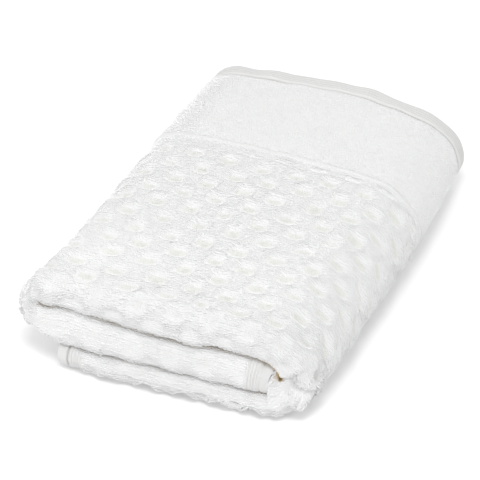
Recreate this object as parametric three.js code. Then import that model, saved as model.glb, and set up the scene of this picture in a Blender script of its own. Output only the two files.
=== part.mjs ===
// A bath towel lying folded, in millimetres. X runs from its left fold to its right fold, Y from
// the rounded near folds to the far hems, Z up from the surface it lies on.
//
// The cloth is one sheet. It is folded in half twice along its length, which makes a band of
// four layers, and the band is folded in thirds across: the left third is turned under first,
// and the right third under that.
import * as THREE from 'three';

const FOLDED_WIDTH = 250; // left fold to right fold
const FOLDED_LENGTH = 372; // near folds to far hems
const LAYER_GAP = 0.8; // air between two layers of the band
const PANEL_GAP = 1.6; // air between the bottom, inner and top panels
const SIDE_HEM = 9; // turned and stitched edge along both sides
const END_HEM = 19; // and the wider one along both ends
const HEM_THICKNESS = 3.4;
const EDGE_THICKNESS = 2.2; // at the very edge of a hem, where it rounds off
const HEM_ROUNDING = 2.7; // width of that rounded edge
const BORDER_FROM_HEM = 138; // end hem to the raised line where the waffle starts
const BORDER_WIDTH = 6;
const BORDER_HEIGHT = 0.7; // how far the raised line stands over the pile

// Layer spacing, one layer and its gap, in each panel and fold. Lower layers are pressed thinner.
const spacing = { bottom: 6.3, inner: 7.3, top: 7.9, shoulder: 6.8, right: 6.3 };

// Where the panels end, in X.
const INNER_HEM_X = 84; // side hem of the third turned under first
const BOTTOM_HEM_X = -94; // side hem of the third at the bottom
const SHOULDER_X = 74; // the top panel starts to turn down here
const LANDING_X = 80; // and lies on the surface from here
const RIGHT_FOLD_WIDEST = 0.44; // height at which the right fold is widest, bottom panel to top

// Layer centres across the band, counted in layer spacings from its middle to its outside.
const layer = { first: 1.5, second: 0.5, third: -0.5, fourth: -1.5 };
// Far ends of the layers: the first two end in hems, the other two join in a fold.
const farEnd = { first: FOLDED_LENGTH / 2, second: FOLDED_LENGTH / 2 - 7, join: FOLDED_LENGTH / 2 - 3 };
// How far each layer has slipped back at the side hems, and the reach over which that fades.
const slip = { first: 0, second: 4, third: 6, fourth: 2 };
const SLIP_REACH = 90;

// Facets along each stretch. The layers share their cross lines, which keeps them parallel.
const steps = { panel: 6, leftFold: 8, rightFold: 5, outerFold: 8, smallFold: 4 };
const crossLines = [-148, -80, -10, 48, 118, 156];

// How the towel lies along its length, which runs from -1 at the near folds to 1 at the far
// hems: heights as shares of the full height, and how far the side edges move in X.
const lieRows = [
  { along: -1.0, left: 0.96, middle: 0.985, right: 0.95, leftEdge: -8.0, rightEdge: -6.5 },
  { along: -0.8, left: 0.975, middle: 0.995, right: 0.985, leftEdge: -1.0, rightEdge: -5.0 },
  { along: -0.4, left: 0.985, middle: 1.005, right: 1.0, leftEdge: 1.0, rightEdge: -1.5 },
  { along: 0.1, left: 0.98, middle: 1.01, right: 1.0, leftEdge: 1.0, rightEdge: -0.5 },
  { along: 0.5, left: 0.97, middle: 0.995, right: 0.97, leftEdge: -1.0, rightEdge: -2.0 },
  { along: 0.8, left: 0.96, middle: 0.98, right: 0.91, leftEdge: -1.0, rightEdge: -2.5 },
  { along: 1.0, left: 0.95, middle: 0.965, right: 0.86, leftEdge: 0.5, rightEdge: -1.5 },
];

// How the near and far outlines move in Y, from -1 at the left fold to 1 at the right fold.
const outlineRows = [
  { across: -1.0, near: -2.0, far: -10.0 },
  { across: -0.6, near: -2.5, far: -5.5 },
  { across: -0.2, near: 0.5, far: -1.5 },
  { across: 0.2, near: 3.5, far: 0.0 },
  { across: 0.6, near: 7.0, far: -2.0 },
  { across: 0.85, near: 12.0, far: -2.0 },
  { across: 1.0, near: 22.0, far: 0.0 },
];
const OUTLINE_FADE = 4; // the higher, the sooner an outline's shape fades along the towel

const mix = (a, b, t) => a + (b - a) * t;
const clamp01 = (value) => Math.min(Math.max(value, 0), 1);
const thicknessOf = (ply) => ply - LAYER_GAP;
const halfBand = (ply) => 2 * ply - LAYER_GAP / 2;

const bottomZ = halfBand(spacing.bottom);
const innerZ = 2 * bottomZ + PANEL_GAP + halfBand(spacing.inner);
const topZ = innerZ + halfBand(spacing.inner) + PANEL_GAP + halfBand(spacing.top);

// Smooth curve through the rows of a table, read at one value of its key column.
function readRows(rows, key, value, column) {
  let i = 0;
  while (i < rows.length - 2 && value > rows[i + 1][key]) i += 1;
  const [a, b] = [rows[i], rows[i + 1]];
  const before = rows[i - 1] ?? a;
  const after = rows[i + 2] ?? b;
  const slope = (p, q) => ((q[column] - p[column]) / (q[key] - p[key])) * (b[key] - a[key]);
  const t = clamp01((value - a[key]) / (b[key] - a[key]));
  const [t2, t3] = [t ** 2, t ** 3];
  return (2 * t3 - 3 * t2 + 1) * a[column] + (t3 - 2 * t2 + t) * slope(before, b)
    + (3 * t2 - 2 * t3) * b[column] + (t3 - t2) * slope(a, after);
}

// Moves a point of the evenly folded towel to where it lies. Heights are scaled and never
// shifted, so the underside stays flat and the layers stay apart.
function lie(x, y, z) {
  const across = x / (FOLDED_WIDTH / 2);
  const along = y / (FOLDED_LENGTH / 2);
  const [left, middle, right, leftEdge, rightEdge] = ['left', 'middle', 'right', 'leftEdge', 'rightEdge']
    .map((column) => readRows(lieRows, 'along', along, column));
  const [near, far] = ['near', 'far'].map((column) => readRows(outlineRows, 'across', across, column));
  const height = middle + ((right - left) / 2) * across + ((right + left) / 2 - middle) * across ** 2;
  const nearShare = clamp01((1 - along) / 2) ** OUTLINE_FADE;
  const farShare = clamp01((1 + along) / 2) ** OUTLINE_FADE;
  return new THREE.Vector3(
    x + mix(leftEdge, rightEdge, (across + 1) / 2) * Math.abs(across),
    y + near * nearShare + far * farShare,
    Math.max(z, 0) * height,
  );
}

// Middle line of the band in X and Z, from the inner side hem round both folds to the bottom
// side hem. Each station has its layer spacing and, on the end panels, its reach to the hem.
function bandStations() {
  const stations = [];
  const put = (x, z, ply, reach = Infinity) => stations.push({ x, z, ply, reach });
  const hemCuts = [0, HEM_ROUNDING, SIDE_HEM, SIDE_HEM + HEM_ROUNDING];
  const pastHem = hemCuts[hemCuts.length - 1];

  hemCuts.forEach((cut) => put(INNER_HEM_X - cut, innerZ, spacing.inner, cut));
  const leftRadius = (topZ - innerZ) / 2;
  const leftX = -FOLDED_WIDTH / 2 + halfBand(spacing.inner) + leftRadius;
  for (let i = 1; i <= steps.panel; i += 1) {
    const x = mix(INNER_HEM_X - pastHem, leftX, i / steps.panel);
    put(x, innerZ, spacing.inner, INNER_HEM_X - x);
  }
  for (let i = 1; i < steps.leftFold; i += 1) {
    const turn = Math.PI * (i / steps.leftFold);
    put(leftX - leftRadius * Math.sin(turn), mix(innerZ, topZ, (1 - Math.cos(turn)) / 2), spacing.inner);
  }
  for (let i = 0; i <= steps.panel; i += 1) {
    const t = i / steps.panel;
    const ply = mix(mix(spacing.inner, spacing.top, clamp01(2 * t)), spacing.shoulder, t ** 3);
    put(mix(leftX, SHOULDER_X, t), topZ, ply);
  }
  const rightX = FOLDED_WIDTH / 2 - halfBand(spacing.right);
  const widestZ = mix(bottomZ, topZ, RIGHT_FOLD_WIDEST);
  for (let i = 1; i <= steps.rightFold; i += 1) {
    const t = i / steps.rightFold;
    const turn = (Math.PI / 2) * t;
    const x = mix(SHOULDER_X, rightX, Math.sin(turn));
    put(x, mix(widestZ, topZ, Math.cos(turn)), mix(spacing.shoulder, spacing.right, t));
  }
  for (let i = steps.rightFold - 1; i >= 1; i -= 1) {
    const turn = (Math.PI / 2) * (i / steps.rightFold);
    const x = mix(LANDING_X, rightX, Math.sin(turn));
    put(x, mix(widestZ, bottomZ, Math.cos(turn)), spacing.right);
  }
  for (let i = 0; i < steps.panel; i += 1) {
    const x = mix(LANDING_X, BOTTOM_HEM_X + pastHem, i / steps.panel);
    put(x, bottomZ, spacing.bottom, x - BOTTOM_HEM_X);
  }
  hemCuts.toReversed().forEach((cut) => put(BOTTOM_HEM_X + cut, bottomZ, spacing.bottom, cut));

  const last = stations.length - 1;
  stations.forEach((station, i) => {
    const [a, b] = [stations[Math.max(i - 1, 0)], stations[Math.min(i + 1, last)]];
    const length = Math.hypot(b.x - a.x, b.z - a.z);
    station.alongX = (b.x - a.x) / length;
    station.alongZ = (b.z - a.z) / length;
    station.fromStart = i < last / 2;
  });
  return stations;
}

// The sheet's run through the four layers where they are ply apart: y along the towel and off
// across the band, with the direction that the sheet's face looks in and its thickness there.
function sheetRun(ply) {
  const run = [];
  const full = thicknessOf(ply);
  const nearY = -FOLDED_LENGTH / 2 + layer.first * ply + full / 2;
  const joinY = farEnd.join - ply / 2 - full / 2;
  const borderY = farEnd.first - BORDER_FROM_HEM;
  const nearToFar = crossLines;
  const farToNear = crossLines.toReversed();
  const hemRows = [
    { cut: 0, thickness: EDGE_THICKNESS },
    { cut: HEM_ROUNDING, thickness: HEM_THICKNESS },
    { cut: END_HEM, thickness: HEM_THICKNESS },
  ];

  const lay = (name, faceOff, ys, extra = {}) => ys.forEach((y) => run.push({
    y, off: layer[name] * ply, faceY: 0, faceOff, slip: slip[name], thickness: full, raised: 0, ...extra,
  }));
  const hem = (name, faceOff, rows) => rows.forEach(({ cut, thickness }) => {
    lay(name, faceOff, [farEnd[name] - cut], { thickness });
  });
  // A half turn from one layer to the next, round a centre between them; facing is 1 where the
  // sheet's face is outside the turn, and end is -1 for a near fold and 1 for a far one.
  const fold = (from, to, centreY, end, facing, count) => {
    const radius = ((layer[from] - layer[to]) / 2) * ply;
    const centreOff = ((layer[from] + layer[to]) / 2) * ply;
    for (let i = 1; i < count; i += 1) {
      const turn = Math.PI * (i / count);
      const outY = end * Math.sin(turn);
      const outOff = Math.cos(turn);
      run.push({
        y: centreY + Math.abs(radius) * outY,
        off: centreOff + radius * outOff,
        faceY: facing * outY,
        faceOff: facing * outOff * Math.sign(radius),
        slip: mix(slip[from], slip[to], i / count),
        thickness: full,
        raised: 0,
      });
    }
  };

  hem('first', 1, hemRows);
  lay('first', 1, farToNear.filter((y) => y > borderY + BORDER_WIDTH));
  lay('first', 1, [borderY + BORDER_WIDTH / 2]);
  lay('first', 1, [borderY], { raised: BORDER_HEIGHT });
  lay('first', 1, [borderY - BORDER_WIDTH / 2]);
  lay('first', 1, [...farToNear.filter((y) => y < borderY - BORDER_WIDTH), nearY]);
  fold('first', 'fourth', nearY, -1, 1, steps.outerFold);
  lay('fourth', -1, [nearY, ...nearToFar, joinY]);
  fold('fourth', 'third', joinY, 1, 1, steps.smallFold);
  lay('third', 1, [joinY, ...farToNear, nearY]);
  fold('third', 'second', nearY, -1, -1, steps.smallFold);
  lay('second', -1, [nearY, ...nearToFar]);
  hem('second', -1, hemRows.toReversed());
  return run;
}

// Where one face of the sheet lies, a row of points for each station of the band. The side is
// 1 for the face that shows on the folded towel's top and -1 for the other.
function facePoints(side) {
  return bandStations().map((band) => sheetRun(band.ply).map((spot) => {
    let { thickness } = spot;
    if (band.reach <= SIDE_HEM) {
      thickness = Math.min(thickness, band.reach > 0 ? HEM_THICKNESS : EDGE_THICKNESS);
    }
    const out = side * (thickness / 2) + (side > 0 ? spot.raised : 0);
    const off = spot.off + out * spot.faceOff;
    const back = spot.slip * clamp01(1 - band.reach / SLIP_REACH) * (band.fromStart ? 1 : -1);
    return lie(
      band.x - band.alongZ * off + band.alongX * back,
      spot.y + out * spot.faceY,
      band.z + band.alongX * off + band.alongZ * back,
    );
  }));
}

// The closed sheet: its two faces, joined along its four edges, over the middle of its floor.
function clothGeometry() {
  const faces = [facePoints(1), facePoints(-1)];
  const points = faces.flat(2);
  const box = new THREE.Box3().setFromPoints(points);
  const centre = box.getCenter(new THREE.Vector3());
  centre.z = box.min.z;
  const positions = points.flatMap((point) => point.sub(centre).toArray());

  const rows = faces[0].length;
  const columns = faces[0][0].length;
  const [top, under] = [0, rows * columns];
  const at = (face, i, j) => face + i * columns + j;
  const index = [];
  const quad = (a, b, c, d) => index.push(a, b, c, a, c, d);
  for (let i = 0; i < rows - 1; i += 1) {
    for (let j = 0; j < columns - 1; j += 1) {
      quad(at(top, i, j), at(top, i, j + 1), at(top, i + 1, j + 1), at(top, i + 1, j));
      quad(at(under, i, j), at(under, i + 1, j), at(under, i + 1, j + 1), at(under, i, j + 1));
    }
  }
  const [lastRow, lastColumn] = [rows - 1, columns - 1];
  for (let i = 0; i < lastRow; i += 1) {
    quad(at(top, i, 0), at(top, i + 1, 0), at(under, i + 1, 0), at(under, i, 0));
    const [a, b] = [at(top, i, lastColumn), at(top, i + 1, lastColumn)];
    quad(b, a, a + under, b + under);
  }
  for (let j = 0; j < lastColumn; j += 1) {
    quad(at(top, 0, j + 1), at(top, 0, j), at(under, 0, j), at(under, 0, j + 1));
    quad(at(top, lastRow, j), at(top, lastRow, j + 1), at(under, lastRow, j + 1), at(under, lastRow, j));
  }

  const geometry = new THREE.BufferGeometry();
  geometry.setAttribute('position', new THREE.Float32BufferAttribute(positions, 3));
  geometry.setIndex(index);
  geometry.computeVertexNormals();
  return geometry;
}

const cotton = new THREE.MeshStandardMaterial({
  name: 'cotton', color: 0xece9e1, roughness: 0.95, metalness: 0,
});
const cloth = new THREE.Mesh(clothGeometry(), cotton);
cloth.name = 'towel_cloth';

const towel = new THREE.Group();
towel.name = 'towel';
towel.add(cloth);

export default towel;
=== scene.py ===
import math

import bmesh
import bpy
import numpy as np
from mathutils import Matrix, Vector


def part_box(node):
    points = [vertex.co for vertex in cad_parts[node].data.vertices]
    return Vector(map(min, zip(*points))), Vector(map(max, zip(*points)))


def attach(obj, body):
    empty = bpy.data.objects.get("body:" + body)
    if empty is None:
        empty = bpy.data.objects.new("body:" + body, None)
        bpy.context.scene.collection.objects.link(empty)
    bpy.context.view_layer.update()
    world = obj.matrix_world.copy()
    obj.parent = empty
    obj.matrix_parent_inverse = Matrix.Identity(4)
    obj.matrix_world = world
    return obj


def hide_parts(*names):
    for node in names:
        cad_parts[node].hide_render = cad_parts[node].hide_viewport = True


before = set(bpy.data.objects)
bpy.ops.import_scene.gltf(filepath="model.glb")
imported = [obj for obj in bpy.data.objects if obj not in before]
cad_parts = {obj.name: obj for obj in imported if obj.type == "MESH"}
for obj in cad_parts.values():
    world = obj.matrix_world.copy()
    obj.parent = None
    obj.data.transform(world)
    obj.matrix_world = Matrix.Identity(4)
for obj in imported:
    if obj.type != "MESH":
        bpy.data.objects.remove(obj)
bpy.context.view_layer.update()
clothLow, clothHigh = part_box("towel_cloth")
mm = 0.001  # sizes below are in millimetres, meshes are made in metres
circle = 2 * math.pi


# camera, at the photo's angle
view = {
    "azimuth": 23.7,  # degrees, 0 looks along +Y
    "elevation": 36.7, "distance": 1443,
    "target": (-9.05, -14.5, 35),
    "lens": 127.95, "sensor": 36,
}


def addObject(name, data):
    thing = bpy.data.objects.new(name, data)
    bpy.context.scene.collection.objects.link(thing)
    return thing


def aim(thing, place, way):
    thing.location, thing.rotation_mode = place, "QUATERNION"
    thing.rotation_quaternion = way.to_track_quat("-Z", "Y")


def makeCamera():
    around, up = math.radians(view["azimuth"]), math.radians(view["elevation"])
    back = Vector((math.sin(around) * math.cos(up), -math.cos(around) * math.cos(up), math.sin(up)))
    data = bpy.data.cameras.new("photoCamera")
    data.lens = view["lens"]
    data.sensor_width = view["sensor"]
    camera = addObject("photoCamera", data)
    aim(camera, (Vector(view["target"]) + back * view["distance"]) * mm, -back)
    bpy.context.scene.camera = camera


makeCamera()
print("camera made")


# small helpers on arrays of numbers
def mix(a, b, t):
    return a + (b - a) * t


def rise(low, high, value):  # smoothly from 0 at low to 1 at high
    t = np.clip((value - low) / (high - low), 0, 1)
    return t * t * (3 - 2 * t)


def fall(low, high, value):  # smoothly from 1 at low to 0 at high
    return 1 - rise(low, high, value)


def within(knots, value):  # rises between the first two knots, falls between the last two
    return rise(*knots[:2], value) * fall(*knots[2:], value)


def hump(centre, width, value):  # 1 at the centre, 0 at half a width away and beyond
    return fall(0, width / 2, np.abs(value - centre))


def softNoise(x, y, size, seed, stretch=1.0):  # smooth, about -1 to 1, lumps of about that size
    random = np.random.default_rng(seed)
    total = np.zeros(np.broadcast(x, y).shape)
    waves, fewest = 9, 0.6  # each makes 0.6 to 1.6 turns in that size
    for heading, phase, more in random.random((waves, 3)):
        angle, turns = math.pi * heading, circle * (fewest + more) / size
        way = x / stretch * math.cos(angle) + y * math.sin(angle)
        total = total + np.sin(turns * way + circle * phase)
    return total / math.sqrt(waves)


def readTable(table, column, value):  # smooth curve through one column of a table
    keys, heights = np.array(table["at"]), np.array(table[column])
    index = np.arange(len(keys))
    before, after = np.maximum(index - 1, 0), np.minimum(index + 1, len(keys) - 1)
    slopes = (heights[after] - heights[before]) / (keys[after] - keys[before])
    i = np.clip(np.searchsorted(keys, value) - 1, 0, len(keys) - 2)
    step, gain = keys[i + 1] - keys[i], heights[i + 1] - heights[i]
    t = np.clip((value - keys[i]) / step, 0, 1)
    out, into = slopes[i] * step, slopes[i + 1] * step
    return heights[i] + t * (out + t * (3 * gain - 2 * out - into + t * (out + into - 2 * gain)))


# the fold: one sheet, in half twice along its length, then in thirds across
fold = {
    "width": 250, "length": 372, "layerGap": 0.8, "panelGap": 1.6,
    "spacing": {"bottom": 6.3, "inner": 7.3, "top": 7.9, "shoulder": 6.8, "right": 6.3},
    "innerHem": 84,  # X of the side hem of the third turned under first
    "bottomHem": -91,
    "shoulder": 74,  # X where the top panel starts to turn down
    "landing": 80,
    "widest": 0.44,  # height of the right fold's widest line, bottom panel to top
    "layers": {"first": 1.5, "second": 0.5, "third": -0.5, "fourth": -1.5},
    "farEnds": {"first": 186, "second": 179, "join": 183},
    "slips": {"first": 0, "second": 4, "third": 6, "fourth": 2},
    "slipReach": 90,
    "outline": 0.7,  # how far thin hems stand out to the near rolls' outer line
}


def halfBand(ply):
    return 2 * ply - fold["layerGap"] / 2


halfWidth, halfLength = fold["width"] / 2, fold["length"] / 2


def bandLine():
    # middle line of the four layers in X and Z, from the inner side hem round to the bottom one,
    # read by the length of its outer face, which is X on the top panel
    spacing, fine = fold["spacing"], 160
    bottomZ = halfBand(spacing["bottom"])
    innerZ = 2 * bottomZ + fold["panelGap"] + halfBand(spacing["inner"])
    topZ = innerZ + halfBand(spacing["inner"]) + fold["panelGap"] + halfBand(spacing["top"])
    radius = (topZ - innerZ) / 2
    leftX = -halfWidth + halfBand(spacing["inner"]) + radius
    rightX = halfWidth - halfBand(spacing["right"])
    widestZ = mix(bottomZ, topZ, fold["widest"])
    t = np.linspace(0, 1, fine, endpoint=False)
    turn, quarter = math.pi * t, math.pi / 2 * t
    topPly = mix(mix(spacing["inner"], spacing["top"], np.clip(2 * t, 0, 1)), spacing["shoulder"], t**3)
    stretches = {  # X, Z and the distance between layers
        "inner": (mix(fold["innerHem"], leftX, t), innerZ, spacing["inner"]),
        "left": (leftX - radius * np.sin(turn), mix(innerZ, topZ, (1 - np.cos(turn)) / 2), spacing["inner"]),
        "top": (mix(leftX, fold["shoulder"], t), topZ, topPly),
        "upper": (mix(fold["shoulder"], rightX, np.sin(quarter)), mix(widestZ, topZ, np.cos(quarter)),
                  mix(spacing["shoulder"], spacing["right"], t)),
        "lower": (mix(fold["landing"], rightX, np.cos(quarter)), mix(widestZ, bottomZ, np.sin(quarter)),
                  spacing["right"]),
        "bottom": (mix(fold["landing"], fold["bottomHem"], np.append(t[:-1], 1)), bottomZ,
                   spacing["bottom"]),
    }
    x, z, ply = (np.concatenate([s[k] + 0 * t for s in stretches.values()]) for k in range(3))
    size = np.hypot(np.gradient(x), np.gradient(z))
    alongX, alongZ = np.gradient(x) / size, np.gradient(z) / size
    faceX, faceZ = x - alongZ * halfBand(ply), z + alongX * halfBand(ply)
    length = np.concatenate([[0], np.cumsum(np.hypot(np.diff(faceX), np.diff(faceZ)))])
    starts = {name: k * fine for k, name in enumerate(stretches)}
    top = slice(starts["top"], starts["upper"])
    length -= np.interp(0, x[top], length[top])
    panels = {name: float(length[at]) for name, at in starts.items()}
    panels["end"] = float(length[-1])
    return {"at": length, "x": x, "z": z, "ply": ply, "alongX": alongX, "alongZ": alongZ, "panels": panels}


band = bandLine()
across = band["panels"]  # where each panel and fold starts, by length of the outer face
print("band", {name: round(at, 1) for name, at in across.items()})

# the sheet's run from the upper far hem to the lower one, by nominal length
runNames = ["first", "outerFold", "fourth", "joinFold", "third", "innerFold", "second"]
runLengths = [358, 42, 357, 21, 357, 12, 350]
runKnots = np.concatenate([[0], np.cumsum(runLengths)]).astype(float)
along = dict(zip(runNames + ["end"], runKnots))

# zones of the sheet, as places on it and distances past them: a zone starts softly between the
# first two and ends between the next two
zones = {
    "nearFolds": ("outerFold", -8, "outerFold", 4),
    "rightFold": ("upper", 36, "lower", 10, "lower", 20, "bottom", 14),
    "underside": ("lower", 20, "bottom", 14),
    "shoulder": ("middle", 20, "middle", 90, "upper", 50, "upper", 80),
    "tilted": ("middle", -70, "middle", 40),  # the rows start straight right of here
    "rollSlip": ("outerFold", -25, "outerFold", 5),
    "pastRolls": ("fourth", 5, "fourth", 40),
    "leftOuter": ("left", 10, "left", 42),
    "leftPress": ("left", -12, "left", 6, "top", -20, "top", 0),
    "leftPlug": ("left", 30, "left", 46, "top", -20, "top", -6),  # rolls fill the left fold
    "leftPlugRun": ("outerFold", 17, "fourth", 0, "fourth", 0, "fourth", 25),
    "pressed": ("fourth", -22, "fourth", -11, "joinFold", -2, "joinFold", 5),
    "pressedLast": ("third", -5, "third", 2),
    "underLeft": ("left", -8, "left", 8),
    "underLeftRun": ("outerFold", 6, "outerFold", 17),
    "layersOnly": ("fourth", 60, "fourth", 90),  # panels lie further apart than layers
    "deep": ("fourth", -7, "fourth", -1),  # painted shade in the shut gaps between the rolls
    "gapShadeLower": ("bottom", -2, "bottom", 6),
    "gapShadeSlit": ("fourth", -12, "fourth", -5),  # painted shade in the slit beside the flap
    "gapShadeEnd": ("fourth", 25, "fourth", 50),
    "plainPanel": ("top", -6, "top", 12),
}
places = {**along, **across, "middle": 0}  # middle is the top panel's middle line


def knotsOf(row):
    return [places[name] + past for name, past in zip(row[::2], row[1::2])]


def zone(name, at):  # 1 in a zone, 0 outside it
    knots = knotsOf(zones[name])
    return rise(*knots, at) if len(knots) == 2 else within(knots, at)


def sheetRun(run, ply):
    # where a point of the run lies: y along the towel, off across the layers, the way the face
    # looks there, how far its layer has slipped, and its place on the towel's pattern
    layers, farEnds, slips = fold["layers"], fold["farEnds"], fold["slips"]
    full = ply - fold["layerGap"]
    nearY = -halfLength + layers["first"] * ply + full / 2
    joinY = farEnds["join"] - ply / 2 - full / 2
    share = np.interp(run, runKnots, np.arange(len(runKnots)))
    out = {name: np.zeros(np.shape(run)) for name in ("y", "off", "faceY", "faceOff", "slip", "pattern")}

    def put(k, **values):
        here = (share >= k) & (share <= k + 1)
        for name, value in values.items():
            out[name][here] = np.broadcast_to(value, np.shape(run))[here]

    at = farEnds["first"]
    ys = (farEnds["first"], nearY, joinY, nearY, farEnds["second"])
    after = {"first": "fourth", "fourth": "third", "third": "second"}
    for k, name in enumerate([*after, "second"]):  # each layer, and the fold that follows it
        facing = 1 - 2 * (k % 2)
        y = mix(ys[k], ys[k + 1], share - 2 * k)
        put(2 * k, y=y, off=layers[name] * ply, faceY=0, faceOff=facing, slip=slips[name],
            pattern=at - np.abs(y - ys[k]))
        if name in after:
            end, outward = after[name], -1 if name == "third" else 1
            radius = (layers[name] - layers[end]) / 2 * ply
            faceRadius = np.abs(radius) + outward * full / 2
            turned = share - 2 * k - 1
            turn = math.pi * turned
            at = at - np.abs(ys[k + 1] - ys[k])
            put(2 * k + 1, y=ys[k + 1] - np.abs(radius) * facing * np.sin(turn),
                off=(layers[name] + layers[end]) / 2 * ply + radius * np.cos(turn),
                faceY=-outward * facing * np.sin(turn),
                faceOff=outward * np.cos(turn) * np.sign(radius),
                slip=mix(slips[name], slips[end], turned), pattern=at - faceRadius * turn)
            at = at - math.pi * faceRadius
    out["pattern"] -= weave["rollSlip"] * zone("rollSlip", run)
    return out


# the inner flap's near end stands askew, this much further right
flap = {
    "levels": (28, 54),
    "out": (3, 9),
    "reach": 60,
    "fade": (-158, -120),  # Y
}


def flapOut(z):
    return np.interp(z, flap["levels"], flap["out"])


def slantFlap(x, y, z, sheetX):
    share = fall(0, flap["reach"], sheetX - across["inner"])
    return x + flapOut(z) * share * fall(*flap["fade"], y)


# the hollow beside the right fold, pressed shut at its near end down to a slit
hollow = {
    "from": 82.1,  # X of its left side, which slants with the flap
    "side": 2.2,
    "to": (105, 121),
    "near": (-158, -133),  # Y
    "levels": (0, 14, 26, 54, 90),  # heights in it before and after it is pressed shut
    "shutLevels": (0, 14, 48.2, 48.9, 90),
    "slit": 0.32, "slitX": 101, "slitWidth": 22,
    "slitDepth": (8, 16),
    "climb": 7,  # the shut gap stands higher beside the flap and the right fold
    "climbWidth": (1, 12),
    "rightClimb": 3,
    "rightClimbX": (102, 112),
    "slantWidth": (4, 30),
    "square": 0.2,
    "squareTo": (99, 109),
}


def hollowShare(x, z, to):  # its left side at a height, and 1 across it
    start = hollow["from"] + flapOut(z)
    return start, rise(start, start + hollow["side"], x) * fall(*to, x)


def closeHollow(x, y, z, sheetX):  # the near rolls sag and swell into it
    start, share = hollowShare(x, z, hollow["to"])
    share = share * fall(*hollow["near"], y) * (sheetX > across["top"])
    slit = hollow["slit"] * hump(hollow["slitX"], hollow["slitWidth"], x)
    slit = slit * fall(*hollow["slitDepth"], y + halfLength)
    climb = hollow["climb"] * fall(*hollow["climbWidth"], x - start)
    climb = climb + hollow["rightClimb"] * rise(*hollow["rightClimbX"], x)
    climb = climb * np.interp(z, hollow["levels"], (0, 0, 1, 1, 0))
    shut = mix(z, np.interp(z, hollow["levels"], hollow["shutLevels"]) + climb, share * (1 - slit))
    aside = (flapOut(shut) - flapOut(z)) * share * fall(*hollow["slantWidth"], x - start)
    return x + aside, shut


# the gap under the top panel's near roll
gap = {
    "levels": (0, 32, 55, 90),  # the floor, where the lift starts, the gap and the top
    "x": (-125, -114, -108, -102, -97, -91, -86, -75, -60, -40, -25, 0, 20, 40, 60, 80, 95),
    "lift": (0, 4, 7, 4, 3.5, 6.5, 9.3, 10, 7, 5.5, 4, 2.5, 1.5, 5, 5, 3, 0),
    "fade": (-140, -60),  # Y
    "reach": 9.5,  # it reaches this much further into the left fold
    "reachX": (-125, -100, -100, -66),
    "reachY": (-150, -110),
    "reachZ": (26, 36),
}


def drawLeft(x, y, z):
    return x - gap["reach"] * within(gap["reachX"], x) * fall(*gap["reachY"], y) * rise(*gap["reachZ"], z)


def liftGap(x, y, z):
    lift = np.interp(x, gap["x"], gap["lift"]) * fall(*gap["fade"], y)
    return z + lift * np.interp(z, gap["levels"], (0, 0, 1, 0))


# the near rolls press flatter against each other than half rounds
roll = {
    "square": 0.4,
    "leftSquare": 0.12,  # inside the left fold
    "mostOut": 1.2,
    "plugIn": 1.5,  # the fill of the left fold lies this far in
}


def squareRoll(x, y, z, ply, sheetX, run):
    reach = halfBand(ply)
    startY = -halfLength + reach
    out = np.clip((startY - y) / reach, 0, roll["mostOut"])
    turn = (run - along["outerFold"]) / (along["fourth"] - along["outerFold"])
    lower = turn > 0.5
    power = mix(roll["square"], 1, zone("leftOuter", sheetX) * (turn < 0.5))
    _, shut = hollowShare(x, z, hollow["squareTo"])
    power = mix(power, hollow["square"], shut * lower * (sheetX > across["top"]))
    power = mix(power, roll["leftSquare"], zone("leftPress", sheetX) * lower)
    return np.where((turn > 0) & (turn < 1), startY - reach * out**power, y)


def leftPlug(sheetX, run):  # 1 where the near rolls fill the middle of the left fold
    return zone("leftPlug", sheetX) * zone("leftPlugRun", run)


# how it lies: its height as a share of the even fold's and how far its sides move, at shares of its
# half length, and how far its ends move, at shares of its half width
sides = {
    "at": (-1.0, -0.8, -0.4, 0.1, 0.5, 0.8, 1.0),
    "left": (0.96, 0.975, 0.985, 0.98, 0.97, 0.96, 0.95),
    "middle": (0.985, 0.995, 1.005, 1.01, 0.995, 0.98, 0.965),
    "right": (0.95, 0.985, 1.0, 1.0, 0.97, 0.91, 0.86),
    "leftEdge": (-8.0, -1.0, 1.0, 1.0, -1.0, -1.0, 0.5),
    "rightEdge": (-9.0, -8.0, -5.0, -1.5, 0.0, -3.0, -4.0),
}
ends = {
    "at": (-1.0, -0.6, -0.2, 0.2, 0.6, 0.85, 1.0),
    "near": (3.0, -2.5, 0.5, 3.5, 7.0, 12.0, 22.0),
    "far": (-13.0, -7.5, -2.8, 2.2, -4.0, -2.5, 0.0),
}
outlineFade = 4
# how far the near corners move right, or up, at some heights, and over which shares of the half
# width and half length
corners = {
    "left": {"levels": (30, 50, 62, 78, 90), "move": (0, -4.5, -2, 3, 3),
             "across": (0.7, 0.95), "along": (-0.9, -0.6)},
    "right": {"levels": (0, 12, 24, 36, 44, 54), "move": (3, 4, 0, -5, -5, -1),
              "across": (0.55, 0.85), "along": (-0.92, -0.78)},
    "rightLift": {"levels": (0, 40), "move": (6, 0), "across": (0.7, 0.95), "along": (-0.95, -0.8)},
}


def cornerMove(name, u, v, z):
    corner = corners[name]
    share = rise(*corner["across"], u) * fall(*corner["along"], v)
    return np.interp(z, corner["levels"], corner["move"]) * share


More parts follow.
